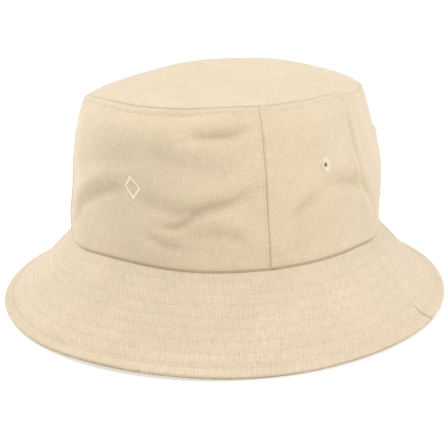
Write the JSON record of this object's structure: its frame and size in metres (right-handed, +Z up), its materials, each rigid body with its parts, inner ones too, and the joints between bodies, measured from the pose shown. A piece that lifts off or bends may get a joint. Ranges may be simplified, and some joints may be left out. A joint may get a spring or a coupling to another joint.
{
  "type": "bucket hat",
  "caption": "Soft cotton bucket hat with an oval domed tip, paneled upright crown, vent eyelets and a stitched, down-sloping brim.",
  "frame": {"origin": "centre of the bounding box's bottom face: on the hat's upright axis, level with the edge of the brim", "axes": "+Z up, front of the hat towards -Y, wearer's left towards +X"},
  "size_m": [0.26, 0.282, 0.134],
  "materials": {
    "twill": "matte cotton twill, beige",
    "interlining": "matte non-woven, off-white",
    "tape": "matte woven cotton tape, beige",
    "thread": "slightly lustrous polyester thread, beige",
    "embroidery": "lustrous embroidery thread, pale beige",
    "label": "satin woven tape, white"
  },
  "bodies": {
    "hat": {"crown_tip": "twill", "crown_front_panel": "twill", "crown_left_panel": "twill", "crown_right_panel": "twill", "crown_back_panel": "twill", "tip_seam_tape": "tape", "front_left_seam_tape": "tape", "front_right_seam_tape": "tape", "back_left_seam_tape": "tape", "back_right_seam_tape": "tape", "sweatband_interlining": "interlining", "sweatband": "tape", "upper_brim_front": "twill", "upper_brim_back": "twill", "brim_interlining_front": "interlining", "brim_interlining_back": "interlining", "under_brim_front": "twill", "under_brim_back": "twill", "brim_stitching": "thread", "tip_topstitching": "thread", "seam_topstitching": "thread", "sweatband_stitching": "thread", "left_vent_eyelets": "embroidery", "right_vent_eyelets": "embroidery", "front_motif": "embroidery", "size_label": "label"},
    "care_label_flap": {"care_label": "label"}
  },
  "joints": [
    {"name": "care_label_hinge", "type": "hinge", "parent": "hat", "child": "care_label_flap", "pos_m": [0.05914, 0.06618, 0.069], "axis": [-0.6605, 0.7508, 0], "range_deg": [0, 100]}
  ]
}
